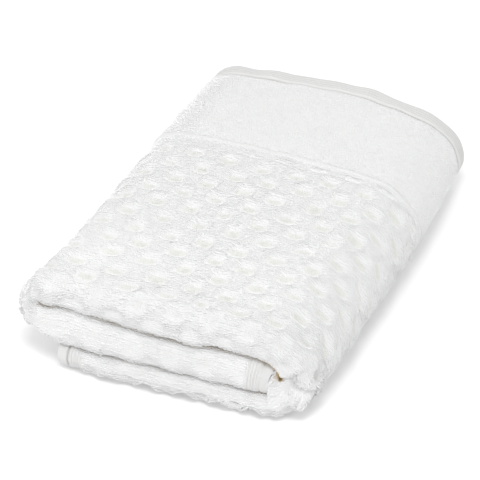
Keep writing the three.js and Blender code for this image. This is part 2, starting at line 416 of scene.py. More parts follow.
def lie(x, y, z):  # from the evenly folded towel to where it lies; u and v are shares of its half size
    u, v = x / halfWidth, y / halfLength
    left, middle, right, leftEdge, rightEdge = (
        readTable(sides, column, v) for column in list(sides)[1:]
    )
    near, far = (readTable(ends, column, u) for column in ("near", "far"))
    height = middle + (right - left) / 2 * u + ((right + left) / 2 - middle) * u**2
    nearShare = np.clip((1 - v) / 2, 0, 1) ** outlineFade
    farShare = np.clip((1 + v) / 2, 0, 1) ** outlineFade
    aside = cornerMove("right", u, v, z) + cornerMove("left", -u, v, z)
    return np.stack([
        x + mix(leftEdge, rightEdge, (u + 1) / 2) * np.abs(u) + aside,
        y + near * nearShare + far * farShare,
        np.maximum(z, 0) * height + cornerMove("rightLift", u, v, z),
    ], axis=-1)


# the cloth's own relief
weave = {
    "cellWidth": 15.27,  # sunk and pile cells alternate like a draughtboard
    "cellLength": 19.1,
    "cellX": 35.2,  # middle of one sunk cell on the top panel
    "cellY": -149,
    "rollSlip": 7,  # the rows move on by this round the near folds
    "foldSlip": (7.6, 9.0),  # and by this, across and along, round the right fold
    "shoulderSlip": (1.75, 2.3),
    "underSlip": 4.3,  # across, on the bottom panel
    "foldLength": 1.35,  # cells open up where the cloth turns
    "foldWidth": 1.25, "rightLength": 1.2, "foldPillow": 2.0,
    "pitWidth": 16.5, "pitLength": 13.5, "pitDepth": 3.2,
    "pitSpread": (0.06, -0.07),  # how much their width and length differ from cell to cell
    "depthSpread": 0.12,
    "pitSide": (0.45, 1.35),  # their sides start and end, as shares of a half
    "squareness": 3,
    "foldDepth": 0.95,  # their depth where the cloth turns over
    "farWall": 1.4,  # the cells' far walls are this much longer than their near ones
    "wallAt": 0.75, "wallWidth": 1.1,
    "wallSide": (0.5, 1.1),
    "lineTilt": 9,  # the rows start this much later on the left
    "pitWander": 0.66,  # how far the cells stray from the grid
    "pillow": 0.6,  # how much the pile cells swell
    "underPile": 0.55,  # the ground cloth lies this far under the pile's tops
    "pressedOut": 0.38,  # faces inside the fold close up by this
    "pressedFlat": 0.92,
    "sway": 1.0,  # slow bend of the rows
    "lumps": 0.55,  # slow rise and fall of the lying cloth
    "lumpSize": 46,
    "paleNear": 0.45,  # less cream shows round the near folds, and on far walls, where painted light covers it
    "farWallLightOver": 0.7, "seed": 4,
}
border = {
    "at": 48,  # Y of the raised line between the plain end panel and the waffle
    "width": 4.9, "height": 1.9,
    "slope": (0.15, 0.5),  # its sides start and end, as shares of the width
    "groove": 0.2, "grooveWidth": 4.5, "fade": 4,
}
hems = {
    "end": 17.5,  # turned and stitched, at both ends
    "side": 9.5,
    "selvedge": 22.5,  # side strip without pile
    "fade": 6, "step": 5, "thick": 3.4, "endThick": 5.2,
    "edgeThick": 2.4,
    "rounding": (-0.5, 2.7),
    "stitchIn": 1.4,  # stitches lie this far inside the hem's inner edge
    "endStitchIn": -1.6,
    "endRidge": 0.5,  # the turned edge shows beside the stitches
    "ridgeIn": 2.8, "ridgeWidth": 3, "stitchGroove": 1.5,
    "grooveWidth": 3.4,
    "stitchShade": 2.6,  # width of the painted shade along the stitch line, on the sides and at the ends
    "endStitchShade": 3.6,
    "clear": 2,  # the stitches stop this far from the sheet's edges
}
ridgeRun = fold["farEnds"]["first"] - border["at"]
stitchX, stitchRun = hems["side"] - hems["stitchIn"], hems["end"] - hems["endStitchIn"]  # from the edges
# soft troughs where the cloth is drawn in, from one X and run on the sheet to another
creases = [
    {"start": (122, 386), "end": (150, 354), "width": 6, "depth": 1.6},  # the near right corner
    {"start": (148, 357), "end": (160, 334), "width": 8, "depth": 3},
    {"start": (181, 388), "end": (182, 368), "width": 3.5, "depth": 1.0},
    {"start": (197, 373), "end": (181, 370), "width": 4, "depth": 2.0},
    {"start": (-142, 384), "end": (-142, 404), "width": 5, "depth": 1.0},  # the left fold
]
creaseEnds = (-0.15, 0.3, 0.85, 1.1)  # shares of a trough's length where it starts and ends


def edgeReach(sheetX, run):  # distance to the nearer side edge and to the nearer end edge
    side = np.minimum(sheetX - across["inner"], across["end"] - sheetX)
    end = np.minimum(run - along["first"], along["end"] - run)
    return side, end


def thicknessAt(sheetX, run, ply):
    side, end = edgeReach(sheetX, run)
    pastSide = rise(hems["side"], hems["side"] + hems["step"], side)
    pastEnd = rise(hems["end"], hems["end"] + hems["step"], end)
    rounded = rise(*hems["rounding"], np.minimum(side, end))
    thick = mix(hems["thick"], hems["endThick"], pastSide)
    return mix(mix(hems["edgeThick"], thick, rounded), ply - fold["layerGap"], pastSide * pastEnd)


def nearTurn(run):  # 1 where the layers turn round the near end
    return zone("nearFolds", run)


def rightTurn(sheetX):  # 1 on the right fold
    return zone("rightFold", sheetX)


def turning(sheetX, run):
    return np.maximum(rightTurn(sheetX), nearTurn(run))


def weavePlace(sheetX, pattern):  # columns and rows of cells, counted from one sunk cell
    right, shoulder = rightTurn(sheetX), zone("shoulder", sheetX)
    x = sheetX - weave["foldSlip"][0] * right - weave["underSlip"] * zone("underside", sheetX)
    y = pattern + weave["foldSlip"][1] * right
    x, y = x - weave["shoulderSlip"][0] * shoulder, y - weave["shoulderSlip"][1] * shoulder
    x = x + weave["sway"] * softNoise(sheetX, pattern, size=120, seed=11)
    y = y + weave["sway"] * softNoise(sheetX, pattern, size=110, seed=12)
    return (x - weave["cellX"]) / weave["cellWidth"], (y - weave["cellY"]) / weave["cellLength"]


def cellPlace(sheetX, run, pattern):
    # place in the nearest sunk cell, sideways and towards its far wall, as shares of its half size
    columns, rows = 160, 320
    cells = np.random.default_rng(weave["seed"]).normal(size=(columns, rows, 4))
    u, v = weavePlace(sheetX, pattern)
    p, q = np.round((u + v) / 2), np.round((u - v) / 2)
    column, row = (p + q).astype(int), (p - q).astype(int)
    strayX, strayY, size, deep = np.moveaxis(cells[column % columns, row % rows], -1, 0)
    moreWide, moreLong = weave["pitSpread"]
    wide = weave["pitWidth"] / 2 * (1 + moreWide * size) * mix(1, weave["foldWidth"], rightTurn(sheetX))
    tall = weave["pitLength"] / 2 * (1 + moreLong * size) * mix(1, weave["foldLength"], nearTurn(run))
    tall = tall * mix(1, weave["rightLength"], rightTurn(sheetX))
    dx = np.abs((u - column) * weave["cellWidth"] - weave["pitWander"] * strayX) / wide
    dy = (v - row) * weave["cellLength"] - weave["pitWander"] * strayY
    return dx, np.where(dy > 0, dy / weave["farWall"], dy) / tall, deep


def sunkCells(sheetX, run, pattern):  # 1 on the floor of a sunk cell, 0 on the pile
    dx, dy, deep = cellPlace(sheetX, run, pattern)
    power = weave["squareness"]
    away = (dx**power + np.abs(dy) ** power) ** (1 / power)
    return fall(*weave["pitSide"], away) * (1 + weave["depthSpread"] * deep)


def farWalls(sheetX, run, pattern):  # 1 on the pile of a sunk cell's far wall, where light is painted
    dx, dy, _ = cellPlace(sheetX, run, pattern)
    return hump(weave["wallAt"], weave["wallWidth"], dy) * fall(*weave["wallSide"], dx)


def waffleShare(sheetX, run):  # 1 where the cloth is waffle, 0 on plain panels and hems
    side, end = edgeReach(sheetX, run)
    plain = ridgeRun + border["width"] + weave["lineTilt"] * (1 - zone("tilted", sheetX))
    woven = rise(plain, plain + border["fade"], end)
    woven = woven * rise(hems["selvedge"] - hems["fade"], hems["selvedge"], side)
    return woven * (1 - leftPlug(sheetX, run))


def pressedShare(sheetX, run):  # 1 where the face lies against another inside the fold
    under = (1 - zone("underLeft", sheetX)) * (1 - zone("underLeftRun", run))
    return np.clip(zone("pressed", run) + zone("pressedLast", run) + under, 0, 1)


def gapShadeShare(sheetX, run):  # 1 where shade is painted inside the shut gaps
    upper, lower = 0.4, 0.16  # less painted shade over the flap and under it than in the slit beside it
    inside = zone("deep", run) * (1 - leftPlug(sheetX, run)) * mix(upper, lower, zone("gapShadeLower", sheetX))
    beside = (sheetX > across["upper"] + 16) & (sheetX < across["bottom"] - 18)
    return np.maximum(inside, zone("gapShadeSlit", run) * beside) * (1 - zone("gapShadeEnd", run))


def relief(sheetX, run, pattern):  # how far the face stands off the smooth sheet
    side, end = edgeReach(sheetX, run)
    pressed = pressedShare(sheetX, run)
    u, v = weavePlace(sheetX, pattern)
    swell = 0.5 - 0.5 * np.cos(math.pi * (u + v)) * np.cos(math.pi * (u - v))
    raised = border["height"] * fall(*border["slope"], np.abs(end - ridgeRun) / border["width"])
    groove = border["groove"] * hump(ridgeRun + border["grooveWidth"], border["grooveWidth"], end)
    stitched = np.maximum(
        hump(stitchX, hems["grooveWidth"], side) * (end > hems["clear"]),
        hump(stitchRun, hems["grooveWidth"], end) * (side > hems["clear"]),
    )
    pillow = mix(weave["pillow"], weave["foldPillow"], turning(sheetX, run))
    depth = mix(mix(1, weave["foldDepth"], rightTurn(sheetX)), weave["foldDepth"], nearTurn(run))
    height = pillow * swell - weave["pitDepth"] * depth * sunkCells(sheetX, run, pattern)
    offHem = rise(hems["end"], hems["end"] + 3, end) * rise(hems["side"], hems["side"] + 3, side)
    pressedOut = weave["pressedOut"] * (2 - zone("layersOnly", run))
    return (
        height * waffleShare(sheetX, run) * (1 - weave["pressedFlat"] * pressed)
        + offHem * mix(-weave["underPile"], pressedOut, pressed)
        + raised
        - groove
        + hems["endRidge"] * hump(stitchRun - hems["ridgeIn"], hems["ridgeWidth"], end)
        - hems["stitchGroove"] * stitched
    )


def troughs(sheetX, run):
    depth = np.zeros(np.shape(sheetX))
    for crease in creases:
        (startX, startY), (endX, endY) = crease["start"], crease["end"]
        length = math.hypot(endX - startX, endY - startY)
        wayX, wayY = (endX - startX) / length, (endY - startY) / length
        lengthwise = ((sheetX - startX) * wayX + (run - startY) * wayY) / length
        sideways = (sheetX - startX) * wayY - (run - startY) * wayX
        section = np.exp(-((2 * sideways / crease["width"]) ** 2))
        depth = depth + crease["depth"] * within(creaseEnds, lengthwise) * section
    return depth


def folded(sheetX, run, side, extra=0.0, shaped=True):
    # a point of the towel from its place on the flat sheet; side is 1 on the face, -1 on the back
    # and between on the edges, extra is how far it stands off the ground cloth
    x, z, ply, alongX, alongZ = (
        np.interp(sheetX, band["at"], band[name]) for name in ("x", "z", "ply", "alongX", "alongZ")
    )
    size = np.hypot(alongX, alongZ)
    alongX, alongZ = alongX / size, alongZ / size
    spot = sheetRun(run, ply)
    thick = thicknessAt(sheetX, run, ply)
    outline = fold["outline"] * nearTurn(run) * (1 - zone("pastRolls", run))
    out = side * thick / 2 + outline * (ply - fold["layerGap"] - thick) + extra
    if shaped:
        out = out + rise(0, 1, side) * (relief(sheetX, run, spot["pattern"]) - troughs(sheetX, run))
        lumps = softNoise(sheetX, spot["pattern"], size=weave["lumpSize"], seed=21)
        out = out + weave["lumps"] * lumps * (run < along["fourth"])
    off = spot["off"] + out * spot["faceOff"]
    reach, _ = edgeReach(sheetX, run)
    back = spot["slip"] * np.clip(1 - reach / fold["slipReach"], 0, 1)
    back = back * np.where(sheetX < (across["inner"] + across["end"]) / 2, 1, -1)
    atX = x - alongZ * off + alongX * back
    atY = spot["y"] + out * spot["faceY"]
    atZ = z + alongX * off + alongZ * back
    if shaped:
        atX = slantFlap(atX, atY, atZ, sheetX)
        atY = squareRoll(atX, atY, atZ, ply, sheetX, run)
        atX, atZ = closeHollow(atX, atY, atZ, sheetX)
        atX = drawLeft(atX, atY, atZ)
        atZ = liftGap(atX, atY, atZ)
        plugged = np.minimum(atY, roll["plugIn"] - halfLength)
        atY = mix(atY, plugged, leftPlug(sheetX, run))
    return lie(atX, atY, atZ) + shift


# the towel's box stands over the middle of its floor, as the frame has it
shift = np.zeros(3)
gridX, gridRun = np.meshgrid(np.linspace(across["inner"], across["end"], 500),
                             np.linspace(0, along["end"], 1400))
smooth = folded(gridX, gridRun, np.ones(gridX.shape), shaped=False).reshape(-1, 3)
shift = (np.array(clothLow) + np.array(clothHigh)) / 2 / mm - (smooth.min(0) + smooth.max(0)) / 2
shift[2] = 0
print("smooth towel", (smooth.max(0) - smooth.min(0)).round(1), "shift", shift.round(2))


# the sheet, laid flat, cut finer where it shows, then folded
grid = {
    "step": 10.0,  # grid of the parts that don't show
    "fine": 2.6,  # longest edge where it shows
    "foldRows": {"outerFold": 7, "joinFold": 5, "innerFold": 5},
    "edgeCuts": (0, 1.2, 2.7),  # further lines past the edges, stitches, hems and raised line
    "sideStitchCuts": (-1.3, 0, 1.3),
    "sideHemCuts": (2, 5),
    "endStitchCuts": (7 - stitchRun, -4, -2.8, -1.6, 0, 1.6),
    "endHemCuts": (3, 5),
    "ridgeCuts": (-1.9, -1.0, 0, 1.0, 1.9, 4.2, 6.4),
    "clear": 0.45,  # even lines this near to those, as a share of a step, are left out
    "rim": (-1.0, -0.55, 0.0, 0.55, 1.0),  # rows over the thickness at the edges
    "edgeBulge": 1.0,
    "backAway": 40,  # the weave of the back is read this far from the face's
}
shown = {  # where the face can be seen: from one place to another, and how far past them
    "wrap": ("left", -6, "bottom", 8),
    "rolls": ("outerFold", -10, "fourth", 12),
    "join": ("joinFold", -8, "third", 8),
    "hollow": ("upper", 0, "bottom", 10),
    "hollowRun": ("outerFold", 0, "fourth", 45),
}
hemShown = 4  # hems show on both sides, with this much of the cloth beside them


def rowLines(start, end, step, extra):
    lines = np.linspace(start, end, max(2, round((end - start) / step) + 1))
    clear = grid["clear"] * min(step, (end - start) / 2)
    kept = [at for at in lines if start < at < end and all(abs(at - e) > clear for e in extra)]
    return sorted({start, *kept, *extra, end})


def cuts(at, name):
    return [at + past for past in grid[name]]


def flatLines():
    hemSide = cuts(0, "edgeCuts") + cuts(stitchX, "sideStitchCuts") + cuts(hems["side"], "sideHemCuts")
    hemEnd = cuts(0, "edgeCuts") + cuts(stitchRun, "endStitchCuts") + cuts(hems["end"], "endHemCuts")
    extra = {
        "inner": [across["inner"] + past for past in hemSide],
        "bottom": [across["end"] - past for past in hemSide],
        "first": hemEnd + cuts(ridgeRun, "ridgeCuts"),
        "second": [along["end"] - past for past in hemEnd],
    }
    for parts in (across, along):
        lines = []
        for name, start, end in zip(parts, list(parts.values())[:-1], list(parts.values())[1:]):
            if name in grid["foldRows"]:
                lines += list(np.linspace(start, end, grid["foldRows"][name]))
            else:
                lines += rowLines(start, end, grid["step"], extra.get(name, ()))
        yield np.unique(np.round(lines, 4))


def isIn(name, at):
    start, end = knotsOf(shown[name])
    return start < at < end


def shows(x, run, side):  # True where a person can see the cloth
    top = isIn("wrap", x) and run < along["outerFold"]
    beside = isIn("hollow", x) and isIn("hollowRun", run)
    _, reachRun = edgeReach(x, run)
    hem = reachRun < hems["end"] + hemShown or across["end"] - x < hems["side"] + hemShown
    return hem or side > 0 and (top or beside or isIn("rolls", run) or isIn("join", run))


def flatSheet():
    xs, ys = flatLines()
    bm = bmesh.new()
    faceVerts = {side: [[bm.verts.new((x, y, side)) for y in ys] for x in xs] for side in (1, -1)}
    lastX, lastY = len(xs) - 1, len(ys) - 1
    for i in range(lastX):
        for j in range(lastY):
            top, back = faceVerts[1], faceVerts[-1]
            bm.faces.new((top[i][j], top[i][j + 1], top[i + 1][j + 1], top[i + 1][j]))
            bm.faces.new((back[i][j], back[i + 1][j], back[i + 1][j + 1], back[i][j + 1]))
    ring = [(i, 0) for i in range(lastX)] + [(lastX, j) for j in range(lastY)]
    ring += [(i, lastY) for i in range(lastX, 0, -1)] + [(0, j) for j in range(lastY, 0, -1)]
    rows = []
    for level in grid["rim"]:
        if abs(level) == 1:
            rows.append([faceVerts[int(level)][i][j] for i, j in ring])
        else:
            rows.append([bm.verts.new((xs[i], ys[j], level)) for i, j in ring])
    for low, high in zip(rows[:-1], rows[1:]):
        for k in range(len(ring)):
            after = (k + 1) % len(ring)
            bm.faces.new((low[k], high[k], high[after], low[after]))
    for longest in (2 * grid["fine"], grid["fine"]):
        cut = set()
        for face in bm.faces:
            middle = face.calc_center_median()
            if shows(middle.x, middle.y, middle.z):
                cut.update(edge for edge in face.edges if edge.calc_length() > longest)
        bmesh.ops.subdivide_edges(bm, edges=list(cut), cuts=1, use_grid_fill=True)
    mesh = bpy.data.meshes.new("towel_sheet")
    bm.to_mesh(mesh)
    bm.free()
    return mesh


def setPoints(mesh, points):
    mesh.vertices.foreach_set("co", (points * mm).astype(np.float32).ravel())
    mesh.update()


def addMark(mesh, name, values, kind="FLOAT", key="value"):
    mesh.attributes.new(name, kind, "POINT").data.foreach_set(key, values.astype(np.float32).ravel())


def unit(vectors):
    return vectors / np.maximum(np.linalg.norm(vectors, axis=1, keepdims=True), 1e-6)


def patternAt(sheetX, run):  # place along the towel, counted on round its folds
    return sheetRun(run, np.interp(sheetX, band["at"], band["ply"]))["pattern"]


def cellColours(sheetX, run):  # how much of the sunk cells' cream shows, and where light is painted on their far walls
    pattern, waffle = patternAt(sheetX, run), waffleShare(sheetX, run)
    farWallLight = waffle * farWalls(sheetX, run, pattern)
    sunk = waffle * sunkCells(sheetX, run, pattern) * (1 - weave["paleNear"] * nearTurn(run))
    return sunk * (1 - weave["farWallLightOver"] * farWallLight), farWallLight


def makeSheet():
    mesh = flatSheet()
    flat = np.empty(len(mesh.vertices) * 3, np.float32)
    mesh.vertices.foreach_get("co", flat)
    sheetX, run, side = flat.reshape(-1, 3).T.astype(float)
    points = folded(sheetX, run, side)
    # the edges bulge out a little between face and back
    reachX, reachRun = edgeReach(sheetX, run)
    bulge = grid["edgeBulge"] * np.sqrt(np.clip(1 - side**2, 0, 1))
    inX = folded(np.clip(sheetX, across["inner"] + 1, across["end"] - 1), run, side)
    inRun = folded(sheetX, np.clip(run, 1, along["end"] - 1), side)
    for reach, inner in ((reachX, inX), (reachRun, inRun)):
        points = points + unit(points - inner) * (bulge * (reach < 0.01))[:, None]
    points[:, 2] = np.maximum(points[:, 2], 0)
    setPoints(mesh, points)
    mesh.polygons.foreach_set("use_smooth", np.ones(len(mesh.polygons), bool))
    sunk, farWallLight = cellColours(sheetX, run)
    beforePile = hems["selvedge"] - 2
    pastHem = rise(hems["end"], hems["end"] + 2, reachRun)
    # painted shade along the stitch grooves
    stitchShadeX = hump(stitchX, hems["stitchShade"], reachX) * (reachRun > hems["clear"]) * (sheetX > across["top"])
    stitchShadeRun = hump(stitchRun, hems["endStitchShade"], reachRun) * (reachX > hems["clear"])
    marks = {
        "sunk": sunk * (side > 0),
        # painted light on the cells' far walls
        "farWallLight": farWallLight * (side > 0),
        "hem": 1 - rise(beforePile, hems["selvedge"], reachX) * pastHem,
        "line": np.abs(reachRun - ridgeRun) < border["width"],
        "selvedge": within((hems["side"] - 1, hems["side"] + 1, beforePile, hems["selvedge"]), reachX),
        "stitchShade": np.maximum(stitchShadeX, stitchShadeRun),
        "endHem": fall(stitchRun - 5, stitchRun - 3.5, reachRun),
        # painted shade in the shut gaps and the slit
        "deep": gapShadeShare(sheetX, run),
    }
    for name, values in marks.items():
        addMark(mesh, name, values)
    flatPlace = np.stack([sheetX, patternAt(sheetX, run), grid["backAway"] * side], 1)
    addMark(mesh, "flat", flatPlace * mm, "FLOAT_VECTOR", "vector")
    mesh.calc_loop_triangles()
    print("sheet", len(mesh.loop_triangles), "triangles")
    return addObject("towel_sheet", mesh)


towelSheet = makeSheet()


# the pile: small loops in rows, standing on the ground cloth
pile = {
    "rowStep": 1.9,  # rows run across the towel
    "loopStep": 1.65,
    "scatter": (0.15, 0.13),  # how far loops stray in their row and out of it
    "height": 0.5, "length": 2.3, "thick": 0.4, "wide": 0.55,
    "sizes": (0.8, 1.2),
    "shortest": 0.2,
    "turn": 0.2,  # how far loops turn out of their row, and in the plain panel
    "plainTurn": 0.9,
    "plainShare": 1.1,  # loops are closer and lower on the plain panel
    "plainLength": 0.95, "plainHeight": 0.7, "lean": 0.4,
    "sunk": 0.6,  # height of the loops in the sunk cells
    "sunkSide": (0.3, 0.9),
    "streaks": 0.16, "streakSize": 5.0, "streakStretch": 3.5,
    "ribs": 0.45,  # rows open up where the cloth turns, every few millimetres
    "rightRibs": 0.85, "ribStep": 3.8, "ribSway": 1.5,
    "bareLine": 0.45,  # share of the raised line without loops
    "fade": 4,
    "hemClear": 1.4,  # loops start this far past the end hem's stitches, and low; painted shade on the pile fades out past the stitches
    "hemFade": 5, "hemHeight": 0.5, "stitchShadeFade": 7, "seed": 7,
}


def pileRoots(xFrom, xTo, runFrom, runTo, density=1.0):
    # one root for each loop, in rows across the sheet, each a little out of place
    random = np.random.default_rng(pile["seed"] + int(xFrom * 7 + runFrom * 3) % 9973)
    rows = max(2, round((runTo - runFrom) / pile["rowStep"] * math.sqrt(density)))
    loops = max(2, round((xTo - xFrom) / pile["loopStep"] * math.sqrt(density)))
    row, loop = (n.ravel() for n in np.meshgrid(np.arange(rows), np.arange(loops), indexing="ij"))
    strayX, strayRun = pile["scatter"]
    x = xFrom + (loop + 0.5 * (row % 2) + random.normal(0, strayX, row.size)) * (xTo - xFrom) / loops
    run = runFrom + (row + 0.5 + random.normal(0, strayRun, row.size)) * (runTo - runFrom) / rows
    inside = (x > xFrom) & (x < xTo) & (run > runFrom) & (run < runTo)
    return x[inside], run[inside]


def pileHeight(sheetX, run):
    pattern, waffle = patternAt(sheetX, run), waffleShare(sheetX, run)
    side, end = edgeReach(sheetX, run)
    sunk = waffle * sunkCells(sheetX, run, pattern)
    bare = np.abs(end - ridgeRun) < pile["bareLine"] * border["width"]
    streaks = softNoise(sheetX, pattern, size=pile["streakSize"], seed=31, stretch=pile["streakStretch"])
    sway = pile["ribSway"] * softNoise(sheetX, pattern, size=30, seed=33)
    rib = np.sin(circle * pattern / pile["ribStep"] + sway)
    ribs = mix(pile["ribs"], pile["rightRibs"], rightTurn(sheetX) * (1 - nearTurn(run)))
    uneven = pile["streaks"] * streaks + ribs * rib * turning(sheetX, run) * waffle
    height = mix(1, pile["sunk"], rise(*pile["sunkSide"], sunk)) * (1 - bare) * (1 + uneven)
    height = height * rise(hems["selvedge"] - pile["fade"], hems["selvedge"], side)
    bareTo = stitchRun + pile["hemClear"]
    return height * (end > bareTo) * mix(pile["hemHeight"], 1, rise(bareTo, bareTo + pile["hemFade"], end))


arch = {  # arches of yarn: their ends lie in the cloth, with two three-sided rings between
    "stations": ((-0.5, -0.25), (-0.2, 0.86), (0.2, 0.86), (0.5, -0.25)),  # shares of length and height
    "step": 0.8,  # the cloth's way is read this far to each side
    "room": (0.4, 1.9),  # arches are longer where it is drawn together, and none where drawn out
    "spread": 0.618034,  # thins them out evenly
    "lowest": 0.05,
}


def makeArches(name, xs, runs, turn, lean, long, size, tall, form, marks):
    one, step = np.ones(len(xs)), arch["step"]
    stepX = folded(xs + step, runs, one) - folded(xs - step, runs, one)
    room = np.linalg.norm(stepX, axis=1) / (2 * step)
    leastRoom, mostRoom = arch["room"]
    kept = (room > (np.arange(len(xs)) * arch["spread"]) % 1) & (room < mostRoom)
    xs, runs, turn, lean, long, size, tall, stepX, room, one = (
        values[kept] for values in (xs, runs, turn, lean, long, size, tall, stepX, room, one)
    )
    stepRun = folded(xs, runs + step, one) - folded(xs, runs - step, one)
    normal = unit(np.cross(stepRun, stepX))
    outward = folded(xs, runs, one, extra=1.0) - folded(xs, runs, one)
    normal *= np.sign((normal * outward).sum(1, keepdims=True))
    middles = []
    for lengthShare, heightShare in arch["stations"]:
        reach = lengthShare * form["length"] * long / np.clip(room, leastRoom, 1)
        middles.append(folded(xs + reach * np.cos(turn), runs + reach * np.sin(turn), one,
                                   extra=heightShare * form["height"] * tall))
    crossways = unit(np.cross(normal, middles[2] - middles[1]))
    corners = [middles[0]]
    for middle in middles[1:3]:
        middle = middle + crossways * (lean * form["height"] * tall)[:, None]
        for k in range(3):
            angle = circle * k / 3 + math.pi / 2
            aside = crossways * math.cos(angle) * (form["wide"] * size)[:, None]
            corners.append(middle + aside + normal * math.sin(angle) * (form["thick"] * tall)[:, None])
    corners.append(middles[3])
    points = np.stack(corners, axis=1)
    count, perArch = points.shape[:2]
    faces = []
    for k in range(3):
        after = (k + 1) % 3
        faces += [(0, 1 + after, 1 + k), (1 + k, 1 + after, 4 + k), (1 + after, 4 + after, 4 + k),
                  (7, 4 + k, 4 + after)]
    index = (np.array(faces)[None] + perArch * np.arange(count)[:, None, None]).reshape(-1, 3)
    points = points.reshape(-1, 3)
    points[:, 2] = np.maximum(points[:, 2], arch["lowest"])
    mesh = bpy.data.meshes.new(name)
    mesh.from_pydata(points * mm, [], index.tolist(), shade_flat=False)
    for mark, values in marks.items():
        addMark(mesh, mark, np.repeat(values[kept], perArch))
    print(name, count, "arches,", len(index), "triangles")
    return addObject(name, mesh)


def makePile(name, areas):
    xs, runs = (np.concatenate(part) for part in zip(*[pileRoots(*area) for area in areas]))
    tall = pileHeight(xs, runs)
    stands = tall > pile["shortest"]
    xs, runs, tall = xs[stands], runs[stands], tall[stands]
    random = np.random.default_rng(pile["seed"] + len(xs))
    plain = (1 - waffleShare(xs, runs)) * (runs < ridgeRun) * zone("plainPanel", xs)
    turn = random.normal(0, 1, len(xs)) * mix(pile["turn"], pile["plainTurn"], plain)
    lean = random.normal(0, pile["lean"], len(xs))
    size = mix(*pile["sizes"], random.random(len(xs)))
    sunk, farWallLight = cellColours(xs, runs)
    _, end = edgeReach(xs, runs)
    marks = {
        "sunk": sunk,
        # painted light on the cells' far walls
        "farWallLight": farWallLight,
        # painted shade in the shut gaps and the slit
        "deep": gapShadeShare(xs, runs),
        "shade": random.random(len(xs)),
        "plain": plain,
        # painted shade on the pile just past the end hem's stitches
        "stitchShade": fall(stitchRun, stitchRun + pile["stitchShadeFade"], end),
    }
    long = size * mix(1, pile["plainLength"], plain)
    tall = size * tall * mix(1, pile["plainHeight"], plain)
    return makeArches(name, xs, runs, turn, lean, long, size, tall, pile, marks)


inner, left, top, upper, bottom = (across[name] for name in ("inner", "left", "top", "upper", "bottom"))
nearEnd, rollEnd = along["outerFold"], along["fourth"] + 6
pileAreas = {  # from and to X on the sheet, from and to its run
    "pile_plain_panel": [(left, bottom + 2, 1, ridgeRun, pile["plainShare"])],
    "pile_waffle_panel": [(top - 4, upper + 8, ridgeRun, nearEnd)],
    "pile_left_fold": [(left, top - 4, ridgeRun, nearEnd)],
    "pile_right_fold": [(upper + 8, bottom + 2, ridgeRun, nearEnd)],
    "pile_near_folds": [(inner, across["end"], nearEnd, rollEnd),
                        (left + 5, top - 5, nearEnd + 17, rollEnd)],
    "pile_far_fold": [(inner, across["end"], along["joinFold"] - 4, along["third"] + 4)],
}
pilePieces = [makePile(name, areas) for name, areas in pileAreas.items()]


# the hems' stitches: short arches of thread in the stitch groove
stitch = {
    "step": 3.2, "length": 2.7, "height": 0.35, "thick": 0.3,
    "wide": 0.3,
}


def makeStitches():
    firstX, lastX = across["inner"] + stitchX, across["end"] - stitchX
    lastRun = along["end"] - stitchRun
    row, column = np.arange(firstX, lastX, stitch["step"]), np.arange(stitchRun, lastRun, stitch["step"])
    lines = [(row, run + 0 * row, 0 * row) for run in (stitchRun, lastRun)]
    lines += [(x + 0 * column, column, math.pi / 2 + 0 * column) for x in (firstX, lastX)]
    xs, runs, turn = (np.concatenate(part) for part in zip(*lines))
    one = np.ones(len(xs))
    return makeArches("hem_stitches", xs, runs, turn, 0 * xs, one, one, one, stitch, {})


stitches = makeStitches()


# finishes
def operator(operation, swapped=False):
    def work(self, other):
        return self.finish.maths(operation, *((other, self) if swapped else (self, other)))
    return work


class Signal:  # a node's output that can stand in a sum
    def __init__(self, finish, output):
        self.finish, self.output = finish, output

    __add__, __radd__ = operator("ADD"), operator("ADD", swapped=True)
    __sub__, __rsub__ = operator("SUBTRACT"), operator("SUBTRACT", swapped=True)
    __mul__, __rmul__ = operator("MULTIPLY"), operator("MULTIPLY", swapped=True)


class Nodes:
    def __init__(self, tree):
        self.tree = tree

    def node(self, kind, settings=None, inputs=None, output=0):
        node = self.tree.nodes.new(kind)
        for name, value in (settings or {}).items():
            setattr(node, name, value)
        for name, value in (inputs or {}).items():
            self.feed(node.inputs[name], value)
        return Signal(self, node.outputs[output])

    def maths(self, operation, *values):
        return self.node("ShaderNodeMath", {"operation": operation}, dict(enumerate(values)))

    def feed(self, socket, value):
        if isinstance(value, Signal):
            self.tree.links.new(value.output, socket)
        else:
            socket.default_value = value


class Finish(Nodes):  # a material and its nodes
    def __init__(self, name):
        self.material = bpy.data.materials.new(name)
        self.material.use_nodes = True
        super().__init__(self.material.node_tree)
        self.shader = self.tree.nodes["Principled BSDF"]

    def attribute(self, name, output="Fac"):
        return self.node("ShaderNodeAttribute", {"attribute_name": name}, output=output)

    def blend(self, share, low, high):  # colours
        return self.node("ShaderNodeMix", {"data_type": "RGBA"}, {0: share, 6: low, 7: high}, output=2)

    def paint(self, colour, marks):  # over a colour, each where the cloth has its mark
        for mark, name in marks.items():
            colour = self.blend(self.attribute(mark), colour, cotton[name])
        return colour

    def threads(self, place, axis, count):  # waves, so many to the millimetre
        distance = self.node("ShaderNodeSeparateXYZ", inputs={"Vector": place}, output=axis)
        return self.maths("SINE", distance * (circle * count / mm))

    def sunkShare(self):
        limits = {"Value": self.attribute("sunk"), "From Min": cotton["floorFrom"], "From Max": 1.0}
        return self.node("ShaderNodeMapRange", {"interpolation_type": "SMOOTHSTEP"}, limits)

    def noise(self, place, scale, detail=2.0, roughness=0.5):
        values = {"Vector": place, "Scale": scale, "Detail": detail, "Roughness": roughness}
        return self.node("ShaderNodeTexNoise", inputs=values)

    def bump(self, strength, distance, height):
        values = {"Strength": strength, "Distance": distance, "Height": height}
        return self.node("ShaderNodeBump", inputs=values)

    def set(self, **sockets):
        for name, value in sockets.items():
            self.feed(self.shader.inputs[name.replace("_", " ")], value)


